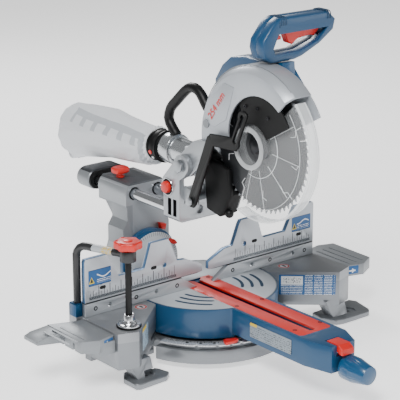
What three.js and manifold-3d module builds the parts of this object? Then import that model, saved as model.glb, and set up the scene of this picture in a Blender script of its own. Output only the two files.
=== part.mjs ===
// Dual-bevel sliding compound mitre saw for a 254 mm blade, on its own four-footed base.
// Frame: +X to the operator's right, +Y to the rear, +Z up, millimetres.
// The origin lies on the bench plane, under the axis that the turntable swings on.
// The fence face is the plane Y = 0 and the upright blade runs in the plane X = 0.
import * as THREE from 'three';
import { mergeVertices } from 'three/addons/utils/BufferGeometryUtils.js';
import Module from 'manifold-3d';

const wasm = await Module();
wasm.setup();

// ---- driving dimensions ----
const GAP = 0.3;                 // air between pieces that touch
const TABLE = 110;               // height of the table top
const TURN_R = 142;              // turntable radius
const ARM_HALF = 45;             // half width of the turntable's front arm
const ARM_FRONT = -390;          // front of the arm
const FENCE_HALF = 285;          // each fence reaches this far from the blade
const FENCE_T = 10;              // fence thickness
const FENCE_SPLIT = 137;         // top of the fixed lower fence
const FENCE_TOP = 222;           // top of the sliding fences
const BEVEL_Y = 188;             // front of the tower that tilts for a bevel
const RAIL_X = 29;               // rails stand this far either side of the blade plane
const RAIL_Z = 255;              // rail height
const RAIL_R = 11;               // rail radius
const CHOP = [12, 356];          // Y and Z of the hinge that the head drops on
const ARBOR = [-162, 424];       // Y and Z of the blade axis, head raised
const BLADE_R = 127;             // ten-inch blade
const TEETH = 60;                // teeth on the blade
const GUARD_R = 150;             // outside radius of the fixed guard
const LOWER_R = 142;             // outside radius of the moving guard
const MOTOR = [-45, 450];        // Y and Z of the motor axis, head raised
const HANDLE_Y = -155;           // middle plane of the main handle

// ---- finishes ----
const finish = (color, roughness, metalness) =>
  new THREE.MeshStandardMaterial({ color, roughness, metalness });
const BLUE = finish(0x1f6396, 0.45, 0.1);
const CAST = finish(0xb9bec6, 0.45, 0.6);
const DARK_CAST = finish(0x80868d, 0.5, 0.5);
const RED = finish(0xe8402c, 0.5, 0);
const BLACK = finish(0x1b1c1e, 0.55, 0);
const STEEL = finish(0x9da1a6, 0.3, 0.9);
const CHROME = finish(0xd5d8dc, 0.15, 1);
const CLEAR = finish(0xd9e6ee, 0.15, 0);
const CLOTH = finish(0xc3cad4, 0.95, 0);
const COPPER = finish(0xa5642f, 0.5, 0.6);

// ---- solids ----
const part = new THREE.Group();

// A closed three.js geometry as a solid that can be joined and cut.
function solid(geometry) {
  const bare = geometry.index ? geometry : geometry.clone();
  bare.deleteAttribute('normal');
  bare.deleteAttribute('uv');
  const merged = mergeVertices(bare, 1e-4);
  return new wasm.Manifold(new wasm.Mesh({
    numProp: 3,
    vertProperties: new Float32Array(merged.attributes.position.array),
    triVerts: new Uint32Array(merged.index.array),
  }));
}

// One named sub-part, added to a group of the scene graph.
function piece(name, shape, material, group = part) {
  const mesh = shape.getMesh();
  const geometry = new THREE.BufferGeometry();
  geometry.setAttribute('position', new THREE.BufferAttribute(mesh.vertProperties, 3));
  geometry.setIndex(new THREE.BufferAttribute(mesh.triVerts, 1));
  geometry.computeVertexNormals();
  const result = new THREE.Mesh(geometry, material);
  result.name = name;
  group.add(result);
  return result;
}

const join = (first, ...rest) => rest.reduce((whole, next) => whole.add(next), first);
const cut = (first, ...rest) => rest.reduce((whole, next) => whole.subtract(next), first);
const v = (x, y, z) => new THREE.Vector3(x, y, z);
const mirrored = (points) => points.map(([x, y]) => [-x, y]).reverse();

// Each direction of extrusion as a turn of the sheet that the outline is drawn on.
const SHEETS = {
  x: new THREE.Matrix4().makeBasis(v(0, 1, 0), v(0, 0, 1), v(1, 0, 0)),
  y: new THREE.Matrix4().makeBasis(v(1, 0, 0), v(0, 0, 1), v(0, -1, 0)),
  z: new THREE.Matrix4(),
};

// An outline pushed along an axis from one place to another. Points are (y, z) for x,
// (x, z) for y and (x, y) for z. The rim takes a bevel when one is asked for.
function slab(axis, points, from, to, bevel = 0) {
  const shape = points instanceof THREE.Shape
    ? points
    : new THREE.Shape(points.map(([a, b]) => new THREE.Vector2(a, b)));
  const geometry = new THREE.ExtrudeGeometry(shape, {
    depth: to - from - 2 * bevel,
    bevelEnabled: bevel > 0,
    bevelThickness: bevel,
    bevelSize: bevel,
    bevelOffset: -bevel,
    bevelSegments: bevel > 3 ? 2 : 1,
    curveSegments: 8,
  });
  geometry.translate(0, 0, bevel);
  geometry.applyMatrix4(SHEETS[axis]);
  const start = axis === 'y' ? v(0, to, 0) : axis === 'x' ? v(from, 0, 0) : v(0, 0, from);
  geometry.translate(start.x, start.y, start.z);
  return solid(geometry);
}

function block(x0, x1, y0, y1, z0, z1) {
  const geometry = new THREE.BoxGeometry(x1 - x0, y1 - y0, z1 - z0);
  geometry.translate((x0 + x1) / 2, (y0 + y1) / 2, (z0 + z1) / 2);
  return solid(geometry);
}

// A round bar along an axis, centred on the two other coordinates.
function bar(axis, radius, [a, b], from, to, sides = 20, endRadius = radius) {
  const geometry = new THREE.CylinderGeometry(endRadius, radius, to - from, sides);
  if (axis === 'x') geometry.rotateZ(-Math.PI / 2);
  if (axis === 'z') geometry.rotateX(Math.PI / 2);
  const middle = (from + to) / 2;
  if (axis === 'x') geometry.translate(middle, a, b);
  if (axis === 'y') geometry.translate(a, middle, b);
  if (axis === 'z') geometry.translate(a, b, middle);
  return solid(geometry);
}

const ring = (axis, outer, inner, centre, from, to, sides = 20) =>
  bar(axis, outer, centre, from, to, sides)
    .subtract(bar(axis, inner, centre, from - 1, to + 1, sides));

// A round bar bent along a smooth curve through the given points.
function bentBar(points, radius, steps = 24, sides = 12) {
  const section = new THREE.Shape().absarc(0, 0, radius, 0, 2 * Math.PI);
  const path = new THREE.CatmullRomCurve3(points.map((p) => v(...p)), false, 'centripetal');
  const options = { steps, extrudePath: path, curveSegments: sides };
  return solid(new THREE.ExtrudeGeometry(section, options));
}

// Points on an arc, in degrees counted from the first coordinate to the second.
function arc([a, b], radius, from, to, count) {
  return Array.from({ length: count + 1 }, (_, i) => {
    const angle = THREE.MathUtils.degToRad(from + (to - from) * i / count);
    return [a + radius * Math.cos(angle), b + radius * Math.sin(angle)];
  });
}

// A band between two radii over a range of angles.
const band = (centre, outer, inner, from, to, count) => [
  ...arc(centre, outer, from, to, count),
  ...arc(centre, inner, to, from, count),
];

// A closed outline with a closed opening in it.
function framed(outer, inner) {
  const shape = new THREE.Shape(outer.map(([a, b]) => new THREE.Vector2(a, b)));
  shape.holes.push(new THREE.Path(inner.map(([a, b]) => new THREE.Vector2(a, b))));
  return shape;
}

// ---- base: two hollow wings, a round floor under the turntable, an arc and four feet ----
const WING = [[100, 27.5], [288, 27.5], [288, -104], [250, -117], [140, -24], [100, 10]];
const WING_HOLLOW = [[110, 21], [282, 21], [282, -99], [250, -110], [146, -20], [110, 10]];
const SKIRT = 40;                // bottom of the wings
const WELL_R = TURN_R + 2;

function wing(side) {
  const outline = side > 0 ? WING : mirrored(WING);
  const hollow = side > 0 ? WING_HOLLOW : mirrored(WING_HOLLOW);
  const inside = slab('z', hollow, SKIRT - 1, TABLE - 9)
    .subtract(bar('z', WELL_R + 7, [0, 0], SKIRT - 2, TABLE, 36));
  return slab('z', outline, SKIRT, TABLE).subtract(inside);
}

// A foot is a thick flange with two bench bolt slots and a tapered leg up to the wing.
function foot(outline, [x, y], [topX, topY]) {
  const flange = slab('z', outline, 0, 12, 2);
  const leg = new THREE.CylinderGeometry(34, 26, 44, 4);
  leg.rotateY(Math.PI / 4);
  leg.rotateX(Math.PI / 2);
  const place = leg.attributes.position;
  for (let i = 0; i < place.count; i += 1) {
    const rise = (place.getZ(i) + 22) / 44;
    place.setX(i, place.getX(i) + x + (topX - x) * rise);
    place.setY(i, place.getY(i) * 0.7 + y + (topY - y) * rise);
    place.setZ(i, place.getZ(i) + 27);
  }
  return join(flange, solid(leg));
}

const LEFT_FOOT = [[-246, -62], [-262, -84], [-262, -122], [-254, -127], [-192, -124],
  [-178, -112], [-184, -88], [-204, -62]];
const RIGHT_FOOT = [[232, -60], [226, -92], [240, -122], [258, -127], [326, -127],
  [336, -118], [348, -70], [340, -54]];
const REAR_FOOT = [[124, 4], [132, -6], [180, -6], [188, 4], [182, 66], [170, 74],
  [142, 74], [130, 66]];
const BOLT_HOLES = [[-205, -75], [-221, -96], [276, -77], [296, -96], [156, 50], [-156, 50]];

const floorDisc = bar('z', 150, [0, 0], 26, 46, 36).subtract(bar('z', 110, [0, 0], 20, 38, 28));
const frontArc = slab('z', band([0, 0], 168, 128, 197, 343, 20), 12, 38);
const arcTop = slab('z', band([0, 0], 156, 138, 197, 343, 20), 37, 46);
const frontWeb = slab('z', band([0, 0], 150, 90, 205, 335, 18), 26, 38);
let base = join(
  wing(1), wing(-1), floorDisc, frontArc, arcTop, frontWeb,
  foot(LEFT_FOOT, [-226, -96], [-240, -88]),
  foot(RIGHT_FOOT, [266, -96], [250, -88]),
  foot(REAR_FOOT, [156, 10], [172, 0]),
  foot(mirrored(REAR_FOOT), [-156, 10], [-172, 0]),
);
const CLAMP_AT = [-288, 21];
base = join(
  base,
  block(-282, -156, -10, 8, 26, 60), block(156, 282, -10, 8, 26, 60),
  slab('z', [[-299, 10.4], [-277, 10.4], [-277, 33], [-299, 33]], 56, TABLE + 26, 2),
);
base = cut(
  base,
  bar('z', WELL_R, [0, 0], 46, TABLE + 1, 36),
  slab('z', band([0, 0], 182, 140, 189, 205, 6), 51, 59),
  bar('z', 9, [0, 0], 20, 50),
  bar('z', 7.8, CLAMP_AT, 66, TABLE + 40),
  ...[-20, -76].map((y) => bar('x', 6.4, [y, 90], -300, -220).add(bar('x', 6.4, [y, 90], 220, 300))),
  ...BOLT_HOLES.map(([x, y]) => bar('z', 4.5, [x, y], -1, 13, 16)),
  ...BOLT_HOLES.map(([x, y]) => bar('z', 16, [x, y], 9.5, 26, 16)),
);
piece('base_casting', base, CAST);

// The mitre scale is a pressed steel band, notched where the turntable clicks.
const NOTCHES = [-45, -31.6, -22.5, -15, 0, 15, 22.5, 31.6, 45];
const scaleBand = slab('z', band([0, 0], 166, 145.5, 200, 340, 28), 46 + GAP, 49);
piece('mitre_scale', cut(scaleBand, ...NOTCHES.map((angle) => {
  const turn = THREE.MathUtils.degToRad(angle - 90);
  return bar('z', 3.4, [164 * Math.cos(turn), 164 * Math.sin(turn)], 45, 52, 12);
})), STEEL);
piece('mitre_pivot_bolt', join(
  bar('z', 8.6, [0, 0], 14, 62), bar('z', 16, [0, 0], 16, 26 - GAP, 6),
), STEEL);

// ---- fences ----
const ABOVE = TABLE + GAP;
for (const [side, name] of [[-1, 'left'], [1, 'right']]) {
  const lower = [[21, ABOVE], [FENCE_HALF, ABOVE], [FENCE_HALF, FENCE_SPLIT], [60, FENCE_SPLIT]];
  const rib = side < 0 ? [-274, -156] : [156, 274];
  const fixed = join(
    slab('y', side > 0 ? lower : mirrored(lower), 0, FENCE_T),
    block(rib[0], rib[1], 9, 26, ABOVE, ABOVE + 8),
  );
  const holes = [120, 229].map((x) => bar('y', 4.5, [side * x, 123], -1, 11, 14));
  piece(`${name}_lower_fence`, cut(fixed, ...holes), CAST);

  // Sliding fence: low beside the blade, a tall hump, a dip and a tall end.
  const outline = [[8, 139], [8, 153], [48, 172], [70, 174], [86, 214], [91, FENCE_TOP],
    [132, FENCE_TOP], [147, 176], [152, 174], [208, 174], [226, 208], [234, FENCE_TOP],
    [283, FENCE_TOP], [FENCE_HALF, 217], [FENCE_HALF, FENCE_SPLIT + GAP],
    [22, FENCE_SPLIT + GAP]];
  const sliding = slab('y', side > 0 ? outline : mirrored(outline), 0, FENCE_T);
  const web = side > 0 ? [150, 280] : [-280, -150];
  const runner = block(web[0], web[1], FENCE_T - 1, FENCE_T + 1.6, 141, 150);
  const oval = [100, 248].map((x) => bar('y', 5, [side * x, 171.5], -1, 14, 16));
  piece(`${name}_fence`, cut(join(sliding, runner), ...oval), CAST);
}

// ---- table extensions, pulled out ----
const EXT_TOP = TABLE - 3;
const leftExtension = join(
  slab('z', [[-289.5, 4], [-289.5, -92], [-325, -100], [-356, -86], [-354, 24], [-300, 4]],
    84, EXT_TOP),
  slab('x', [[-98, 74], [-66, 74], [-66, 98], [-98, 98]], -325, -289.5),
  slab('y', [[-405, 92], [-405, 98], [-392, 103], [-350, 106], [-350, 84]], -20, 24),
  bar('x', 6, [-20, 90], -330, -165, 14), bar('x', 6, [-76, 90], -330, -225, 14),
);
piece('left_extension', cut(
  leftExtension,
  ...[-62, -30].map((y) => block(-360, -330, y - 3, y + 3, 80, 98)),
  block(-350, -296, -58, -40, 80, 100),
  block(-350, -296, -32, -8, 80, 100),
), DARK_CAST);
const rightExtension = join(
  slab('z', [[289.5, 28], [336, 38], [370, 27], [367, -84], [330, -104], [289.5, -92]],
    84, EXT_TOP),
  bar('x', 6, [-20, 90], 165, 330, 14), bar('x', 6, [-76, 90], 225, 330, 14),
);
piece('right_extension', cut(
  rightExtension,
  block(298, 352, -66, -30, 80, 100),
  block(298, 352, -12, 18, 80, 100),
), DARK_CAST);

// ---- work clamp ----
// The group stands on the post axis, turned so that the arm reaches over the table.
const clamp = new THREE.Group();
clamp.position.set(CLAMP_AT[0], CLAMP_AT[1], 0);
clamp.rotation.z = THREE.MathUtils.degToRad(21);
part.add(clamp);
const REACH = -112;              // from the post axis to the screw axis
const ARM_Z = 248;
piece('clamp_arm', cut(join(
  bar('z', 7.4, [0, 0], 68, 232, 20),
  bentBar([[0, 0, 226], [0, -1, 234], [0, -7, 243], [0, -17, ARM_Z], [0, -40, ARM_Z],
    [0, REACH + 10, ARM_Z]], 7.4, 12, 6),
  bar('z', 15, [0, REACH], ARM_Z - 12, ARM_Z + 8, 20),
), bar('z', 7, [0, REACH], 200, 290, 20)), BLACK, clamp);
const knobProfile = [];
for (let i = 0; i < 36; i += 1) {
  const turn = i / 36 * 2 * Math.PI;
  const reach = 24 + 2 * Math.cos(6 * turn);
  knobProfile.push([reach * Math.cos(turn), REACH + reach * Math.sin(turn)]);
}
piece('clamp_knob', cut(
  join(slab('z', knobProfile, 259.5, 274, 2), bar('z', 13, [0, REACH], 256.5, 260, 20)),
  bar('z', 6.3, [0, REACH], 250, 269, 20),
), RED, clamp);
piece('clamp_screw', bar('z', 6, [0, REACH], 128, 268, 20), BLACK, clamp);
piece('clamp_pad', cut(
  join(bar('z', 22, [0, REACH], ABOVE, 117, 20), bar('z', 16, [0, REACH], 116, 122, 24, 12),
    bar('z', 10, [0, REACH], 121, 134, 20)),
  bar('z', 6.3, [0, REACH], 127.7, 140, 20),
), BLACK, clamp);

// ---- turntable with its front arm and rear neck ----
const SLOT_HALF = 6.8;
const RECESS = [[-38.5, 37], [-38.5, -312], [-32, -317], [32, -317], [38.5, -312], [38.5, 37]];
const armPlan = [[-ARM_HALF, 0], [-ARM_HALF, -333], [-32, ARM_FRONT], [24, ARM_FRONT],
  [ARM_HALF, -345], [ARM_HALF, 0]];
const armHollow = [[-40, -148], [-40, -330], [-30, -376], [22, -376], [40, -340], [40, -148]];
let turntable = join(
  bar('z', TURN_R, [0, 0], 53, TABLE, 48).subtract(bar('z', TURN_R - 7, [0, 0], 50, 96, 36)),
  bar('z', 34, [0, 0], 47, 100, 24),
  slab('z', armPlan, 60, TABLE).subtract(slab('z', armHollow, 50, 96)),
  block(-52, 52, 120, 164.7, 53, TABLE - 4),
);
turntable = cut(
  turntable,
  slab('z', RECESS, TABLE - 4.3, TABLE + 5),
  block(-16, 16, -306, 27, 92, 120),
  block(-39.5, 39.5, -170, -132, 50, 96),
  bar('z', 9, [0, 0], 40, 65),
  bar('y', 7, [0, 68], -400, -300, 20),
  block(-20, 12, -400, -358, 88, 120),
  block(-40, 40, 132, 158, 50, 98),
);
piece('turntable', turntable, BLUE);

for (const [side, name] of [[-1, 'left'], [1, 'right']]) {
  const plan = [[SLOT_HALF, 26], [SLOT_HALF, -305], [0.2, -308], [0.2, -316.5], [32, -316.5],
    [38, -312], [38, 36], [17, 36], [12, 30]];
  piece(`${name}_kerf_insert`,
    slab('z', side > 0 ? plan : mirrored(plan), TABLE - 4, TABLE), RED);
}

piece('mitre_pointer', slab('z', [[-74, -143.5], [-80, -158], [-60, -160], [-50, -158],
  [-50, -150], [-62, -147], [-64, -143.5]], 52, 58), RED);
piece('mitre_lock_knob', join(
  bar('y', 17, [0, 68], -453, -420, 28, 23.5), bar('y', 23.5, [0, 68], -420.5, -397, 20),
  bar('y', 11, [0, 68], -398, ARM_FRONT - 1, 20), bar('y', 6, [0, 68], -392, -150, 16),
), BLUE);
piece('detent_lever', slab('x', [[-404, 94], [-402, 104], [-392, 111], [-362, 111],
  [-362, 97], [-390, 97], [-396, 93]], -18, 10), RED);

// ---- bevel arc on the turntable and the tower that tilts about it ----
piece('bevel_arc', cut(
  join(bar('y', 63, [0, TABLE], 165, 178, 40), bar('y', 68, [0, TABLE], 177, 187.6, 40)),
  bar('y', 8.3, [0, TABLE], 168, 190, 24),
  bar('y', 54, [0, TABLE], 174, 190, 36),
), BLUE);
piece('bevel_stop', join(
  bar('y', 5, [42, 148], 150, 164.7, 16), bar('y', 3, [42, 148], 144, 151, 12),
), RED);
piece('bevel_bolt', join(
  bar('y', 8, [0, TABLE], 168.3, 262, 24), bar('y', 14, [0, TABLE], 174.3, 183, 6),
), STEEL);

const housingTop = [[-46, 246], [-46, 270], [-39, 277], [39, 277], [46, 270], [46, 246]];
const pedestal = [[-44, 250], [-48, 228], [-47, 200], [-58, 184], [-58, 152], [-66, 128],
  ...arc([0, TABLE], 68, 180, 360, 20), [66, 128], [58, 152], [58, 184], [47, 200], [48, 228],
  [44, 250]];
let tower = join(
  slab('y', housingTop, BEVEL_Y, 282),
  ...[-1, 1].map((side) => bar('y', 22, [side * RAIL_X, RAIL_Z], BEVEL_Y, 282, 24)),
  slab('y', [[-50, 229], [-50, 256], [50, 256], [50, 229]], BEVEL_Y, 281),
  slab('y', pedestal, BEVEL_Y, 240),
  slab('x', [[238, 236], [276, 236], [238, 196]], -44, 44),
);
tower = cut(
  tower,
  ...[-1, 1].map((side) => bar('y', 13.4, [side * RAIL_X, RAIL_Z], 180, 290, 24)),
  bar('y', 8.3, [0, TABLE], 180, 250, 24),
  block(-36, 36, 196, 260, 60, 226).subtract(bar('y', 20, [0, TABLE], 180, 260, 24)),
  bar('z', 5.3, [-25, 240], 262, 280, 16),
  slab('y', [[-30, 190], [-30, 218], [30, 218], [30, 190]], 255, 262),
);
piece('rail_housing', tower, DARK_CAST);
for (const [side, name] of [[-1, 'left'], [1, 'right']]) {
  piece(`${name}_slide_bush`,
    ring('y', 13.1, RAIL_R + 0.05, [side * RAIL_X, RAIL_Z], 190, 280, 24), STEEL);
}
piece('bevel_pointer', slab('y', [[31, 171], [28, 184], [43, 180], [40, 168]], 176, 187.7), RED);
piece('bevel_lock_lever', cut(join(
  bar('y', 15, [0, TABLE], 241, 256, 24), slab('y', [[-6, 108], [6, 108], [8, 40], [-8, 40]],
    243, 253, 2),
), bar('y', 8.3, [0, TABLE], 230, 262, 24)), BLACK);
piece('rail_lock_knob', join(
  bar('z', 5, [-25, 240], 268.6, 287, 16), bar('z', 9, [-25, 240], 277.4, 281, 6),
  slab('z', [[-42, 234], [-40, 229], [-30, 226], [-20, 226], [-10, 229], [-8, 234], [-8, 246],
    [-10, 251], [-20, 254], [-30, 254], [-40, 251], [-42, 246]], 286, 299, 3),
), RED);

// ---- sliding carriage: rails, rear cap, bracket and guard link ----
for (const [side, name] of [[-1, 'left'], [1, 'right']]) {
  piece(`${name}_rail`, bar('y', RAIL_R, [side * RAIL_X, RAIL_Z], 26, 350, 24), CHROME);
}
const capOutline = [...arc([29, RAIL_Z], 21, -90, 90, 12), ...arc([-29, RAIL_Z], 21, 90, 270, 12)];
piece('rear_rail_cap', cut(slab('y', capOutline, 318, 360, 2),
  ...[-1, 1].map((side) => bar('y', RAIL_R + GAP, [side * RAIL_X, RAIL_Z], 310, 350.5, 24))), CAST);
piece('rail_buffer', cut(slab('y', arc([29, RAIL_Z], 19, -90, 90, 12)
  .concat(arc([-29, RAIL_Z], 19, 90, 270, 12)), 312, 317.7),
...[-1, 1].map((side) => bar('y', RAIL_R + GAP, [side * RAIL_X, RAIL_Z], 310, 320, 24))), BLACK);

const cheek = [[17, 262], [17, 326], [2, 336], ...arc(CHOP, 21, 200, 20, 12), [46, 346],
  [68, 322], [70, 300], [62, 270], [58, 262]];
let bracket = join(
  slab('y', [[-50, 246], [-44, 240], [44, 240], [50, 246], [50, 277], [-50, 277]], 17, 66),
  slab('x', cheek, -50, -38.3), slab('x', cheek, 38.3, 50),
  block(-50, 50, 52, 66, 270, 292),
  slab('x', [[-22, 284], [-22, 296], [-10, 308], [18, 312], [18, 284]], -38.4, -33),
);
bracket = cut(
  bracket,
  ...[-1, 1].map((side) => bar('y', RAIL_R + GAP, [side * RAIL_X, RAIL_Z], 25, 70, 24)),
  bar('x', 8.3, CHOP, -60, 60, 24),
  bar('x', 4.3, [54, 305], -60, -20, 16),
  bar('x', 15, [54, 305], -51, -44, 24),
  ...[26, 42].map((y) => block(-51, -45, y, y + 11, 250, 284)),
  bar('y', 9, [0, 259], 10, 24, 20),
);
bracket = join(
  bracket, bar('x', 4, [-12, 290], -49.5, -36, 16), bar('x', 8, [-12, 290], -53, -48.3, 6),
);
piece('slide_carriage', bracket, CAST);
piece('head_lock_pin', join(
  bar('x', 4, [54, 305], -46, -37, 16), bar('x', 11.5, [54, 305], -58, -45.5, 24),
), RED);
const LINK_X = [-46, -40.3];
piece('guard_link', cut(
  join(
    slab('x', [[-25, 286], [-78, 414], [-66, 432], [-59, 427], [-5, 298], [-3, 287], [-9, 279],
      [-19, 279]], ...LINK_X, 1),
    slab('x', [[-74, 412], [-66, 434], [-130, 440], [-142, 416]], ...LINK_X, 1),
    slab('x', [...arc([-136, 430], 13, 160, 340, 10), ...arc([-159, 482], 13, -20, 160, 10)],
      ...LINK_X, 1),
  ),
  slab('x', [...arc([-138, 436], 6, 160, 340, 8), ...arc([-159, 482], 6, -20, 160, 8)], -50, -30),
  bar('x', 4.3, [-12, 290], -52, -30, 16),
), BLACK);

// ---- head: the arm and guard that carry the blade ----
const [CY, CZ] = CHOP;
const [AY, AZ] = ARBOR;
const head = new THREE.Group();
head.position.set(0, AY, AZ);
part.add(head);
// Everything below is drawn about the blade axis, so the hinge and motor move with it.
const HINGE = [CY - AY, CZ - AZ];
const DRIVE = [MOTOR[0] - AY, MOTOR[1] - AZ];

const armPlate = [[104, -30], [118, -52], ...arc(HINGE, 24, 215, 400, 14), [172, -34],
  [150, -16], [134, -12], [112, -10]];
const webBack = [[151, -86], [151, -16], [168, -34], [168, -76]];
let arm = join(
  slab('x', armPlate, -37.8, -30.4), slab('x', armPlate, 30.4, 37.8),
  slab('x', webBack, -31, 31),
  block(-31, 31, 151, 186, -42, -36), block(-31, 31, 151, 186, -88, -82),
);
arm = cut(
  arm,
  bar('y', 24.4, [0, -60], 100, 230, 24),
  bar('x', 8.3, HINGE, -60, 60, 24),
  block(20, 50, 90, 162, -70, 20),
);
piece('head_arm', arm, CAST, head);
for (const [side, name] of [[-1, 'left'], [1, 'right']]) {
  const far = side < 0 ? [-53.5, -26] : [26, 53.5];
  const cap = side < 0 ? [-60, -53.6] : [53.6, 60];
  piece(`${name}_hinge_bolt`, join(
    bar('x', 8, HINGE, far[0], far[1], 24),
    bar('x', 13, HINGE, Math.min(...cap) + (side < 0 ? 0 : -0.4),
      Math.max(...cap) + (side < 0 ? 0.4 : 0), 6),
  ), STEEL, head);
}

// Fixed guard: a rim with a left wall, open towards the moving guard, and a right wall.
const windowCentre = [-23, 16];
const sector = slab('x', [...arc([0, 0], 220, -7, 133, 10), [0, 0]], -40, 40);
const drum = (inset) => join(
  bar('x', GUARD_R - 13 - inset, [0, 0], -30 + inset, -14, 60, GUARD_R - inset),
  bar('x', GUARD_R - inset, [0, 0], -14.01, inset ? 40 : 24, 60),
);
const shell = drum(0).subtract(drum(4)).subtract(bar('x', 84, windowCentre, -40, -20, 40));
const rightWall = slab('x', arc([0, 0], GUARD_R - 2, -30, 150, 32), 20.4, 24)
  .subtract(bar('x', 30, [0, 0], 10, 40, 28));
const panel = slab('x', [[66, 40], [100, 20], [126, 28], [120, 62], [72, 108], [44, 104]],
  -31.2, -29.6).subtract(bar('x', 84, windowCentre, -40, -20, 40));
piece('upper_guard', join(shell.intersect(sector), rightWall, panel), CAST, head);

// Gear case: a blue cover beside the guard, hollow on its right for the belt.
const caseOutline = [[142, -44], [160, 20], [162, 92], [142, 122], [118, 141], [82, 147],
  [-2, 146], [-43, 105], [-36, 84], [-26, 60], [-30, 10], [-28, -20], [0, -36], [40, -36],
  [90, -52]];
const caseHollow = [[134, -34], [153, 20], [155, 89], [137, 117], [114, 134], [81, 140],
  [1, 139], [-35, 103], [-29, 82], [-20, 60], [-24, 12], [-23, -16], [0, -30], [42, -29],
  [92, -44]];
const sleeve = bar('x', 23, [0, 0], 27, 50, 20);
const motorSeat = bar('x', 30, DRIVE, 27, 40, 20);
const neck = slab('x', [[50, 140], [34, 148], [-18, 151], [-20, 128], [0, 140]], 30, 60)
  .subtract(slab('x', caseHollow, 29, 70));
piece('gear_case', cut(
  join(slab('x', caseOutline, 24.4, 62).subtract(slab('x', caseHollow, 29, 70)),
    sleeve, motorSeat, neck),
  bar('x', 19.4, [0, 0], 27.5, 60, 20),
  bar('x', 9, [0, 0], 20, 30, 20),
  bar('x', 14.4, DRIVE, 30, 60, 24),
), BLUE, head);
piece('gear_cover', cut(
  slab('x', caseOutline, 62.3, 68, 1.5), bar('x', 10, DRIVE, 60, 70, 24),
), BLUE, head);
piece('motor_housing', cut(
  join(bar('x', 43, DRIVE, 68.3, 150, 24), bar('x', 43, DRIVE, 149.9, 160, 36, 38)),
  bar('x', 39, DRIVE, 71, 152, 24),
  bar('x', 10, DRIVE, 60, 72, 24),
  ...Array.from({ length: 8 }, (_, i) => {
    const turn = i * Math.PI / 4;
    return bar('x', 4, [DRIVE[0] + 27 * Math.cos(turn), DRIVE[1] + 27 * Math.sin(turn)],
      150, 170, 8);
  }),
), BLUE, head);
piece('motor_stator', ring('x', 38.5, 25, DRIVE, 78, 128, 24), STEEL, head);
piece('arbor_bearing', ring('x', 19, 8.2, [0, 0], 28, 49, 20), STEEL, head);

// Drive belt round both pulleys, drawn as the two arcs and the straight runs between them.
const beltTurn = THREE.MathUtils.radToDeg(Math.atan2(DRIVE[1], DRIVE[0]));
const beltLean = THREE.MathUtils.radToDeg(Math.asin((18 - 15) / Math.hypot(...DRIVE)));
const beltLine = (thick) => [
  ...arc([0, 0], 18 + thick, beltTurn + 90 - beltLean, beltTurn + 270 + beltLean, 20),
  ...arc(DRIVE, 15 + thick, beltTurn - 90 + beltLean, beltTurn + 90 - beltLean, 14),
];
piece('drive_belt', slab('x', framed(beltLine(4), beltLine(0.4)), 51, 59), BLACK, head);

// Main handle: two shells meeting on the handle's middle plane, round the switch trigger.
const handle = new THREE.Group();
handle.position.set(0, HANDLE_Y, 0);
part.add(handle);
const handleOuter = [[-12, 604], [-9, 620], [14, 647], [30, 656], [148, 655], [166, 640],
  [161, 620], [127, 598], [84, 580], [66, 576], [10, 576], [-6, 586]];
const handleInner = [[14, 602], [26, 627], [146, 627], [122, 605], [78, 591], [18, 590]];
const switchWell = block(46, 142, -10, 10, 612, 645);
const leverWell = block(12, 45.5, -8, 8, 612, 634);
const gearCaseAbove = slab('x', caseOutline, 24, 68.4).translate([0, AY - HANDLE_Y, AZ + 0.4]);
const guardAbove = bar('x', GUARD_R + GAP, [AY - HANDLE_Y, AZ], -30.3, 24.3, 60);
const grip = cut(
  slab('y', handleOuter, -20, 20, 5), slab('y', handleInner, -21, 21),
  switchWell, leverWell, gearCaseAbove, guardAbove,
);
piece('handle_front_shell', cut(grip, block(-50, 200, -0.2, 30, 500, 700)), BLUE, handle);
piece('handle_rear_shell', cut(grip, block(-50, 200, -30, 0.2, 500, 700)), BLUE, handle);
piece('trigger', join(
  slab('y', [[50, 627], [138, 628], [131, 618], [124, 612], [112, 614], [84, 611], [70, 602],
    [60, 606]], -8, 8, 2),
  block(56, 136, -8, 8, 625, 638),
), RED, handle);
piece('lock_off_lever', join(
  slab('y', [[14, 613], [14, 618], [44, 620], [44, 614]], -6, 6, 1), block(20, 40, -6, 6, 617, 628),
), RED, handle);

// Carry handle, a bent tube from the dust pipe to the back of the guard.
piece('carry_handle', cut(bentBar([[0, 248, -32], [0, 260, -22], [0, 274, -4], [0, 268, 18],
  [0, 250, 36], [0, 212, 68], [0, 196, 72], [0, 180, 67], [0, 155, 40]], 10, 20, 6),
bar('y', 31, [0, -60], 200, 300, 24),
bar('x', GUARD_R + GAP, [0, 0], -40, 40, 60)), BLACK, head);

// Dust pipe, collar and bag behind the arm.
piece('dust_pipe', cut(
  join(bar('y', 24, [0, -60], 146, 279, 24), ring('y', 30.6, 22, [0, -60], 244, 272, 24)),
  bar('y', 21.5, [0, -60], 140, 300, 24),
), CHROME, head);
piece('dust_collar', cut(
  join(bar('y', 28, [0, -62], 279.5, 290, 24, 31), bar('y', 31, [0, -62], 289.5, 309, 24)),
  bar('y', 22, [0, -62], 270, 320, 24),
), BLACK, head);
const bagStations = [[309.5, 2, -63, 30], [318, 5, -65, 36], [340, 9, -68, 40],
  [400, 14, -72, 43], [485, 18, -73, 50], [581, 22, -87, 54], [622, 22, -97, 58],
  [634, 22, -98, 53]];
piece('dust_bag', bagShape(bagStations), CLOTH, head);

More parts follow.
